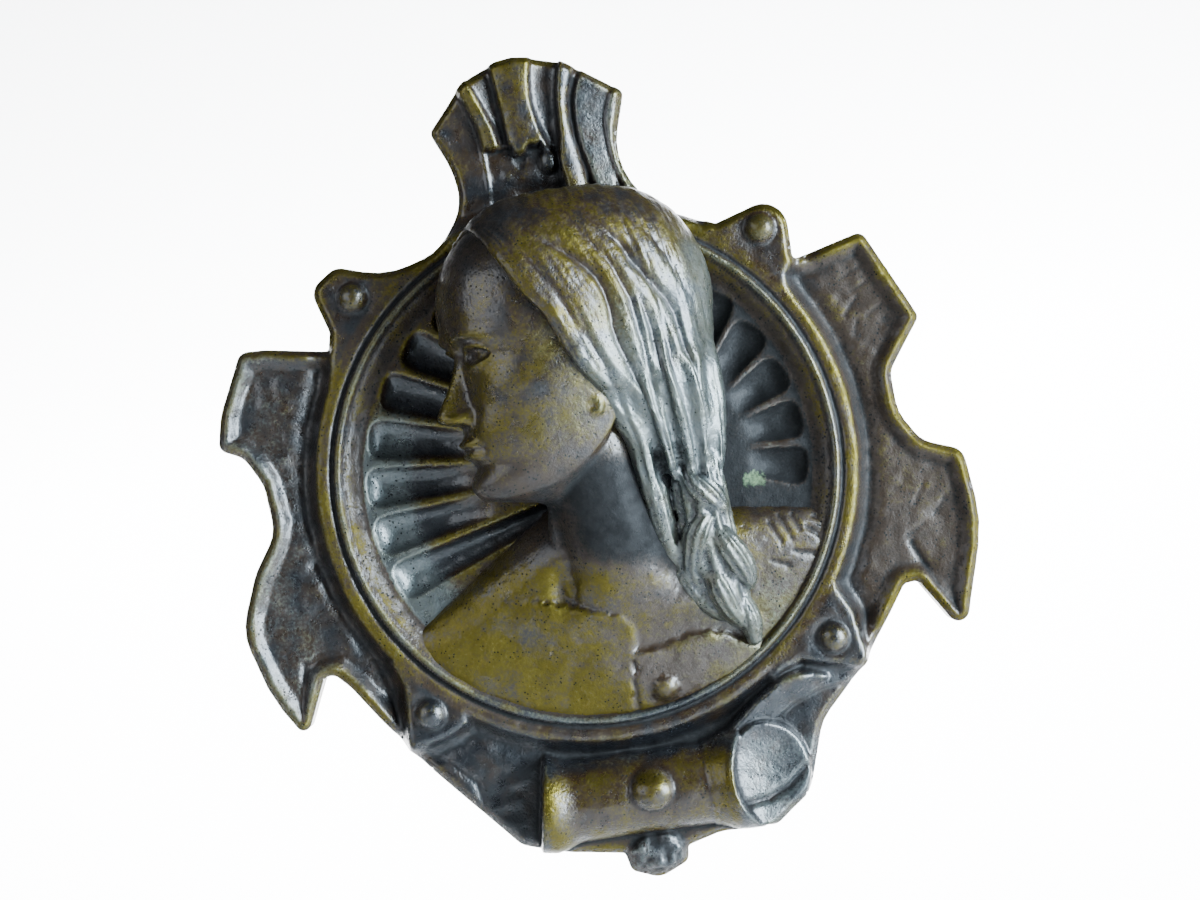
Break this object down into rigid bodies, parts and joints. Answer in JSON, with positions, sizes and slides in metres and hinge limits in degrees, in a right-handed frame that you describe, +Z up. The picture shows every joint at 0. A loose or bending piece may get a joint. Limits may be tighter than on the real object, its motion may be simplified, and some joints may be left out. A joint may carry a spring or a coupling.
{
  "type": "relief plaque",
  "caption": "Cast bronze wall plaque: a bust in profile with a braid, in a round medallion on a strapwork cartouche with a fan crest and a scroll foot.",
  "frame": {"origin": "on the flat back, behind the middle of the four rivets", "axes": "+X to the viewer's right, +Z up towards the fan crest, +Y into the wall, so the relief faces -Y"},
  "size_m": [0.1492, 0.0336, 0.1662],
  "materials": {
    "patinated_bronze": "cast bronze with a dark brown patina, worn to olive gold on the high points, semi-gloss"
  },
  "bodies": {
    "root": {"relief_plaque": "patinated_bronze"}
  },
  "joints": []
}
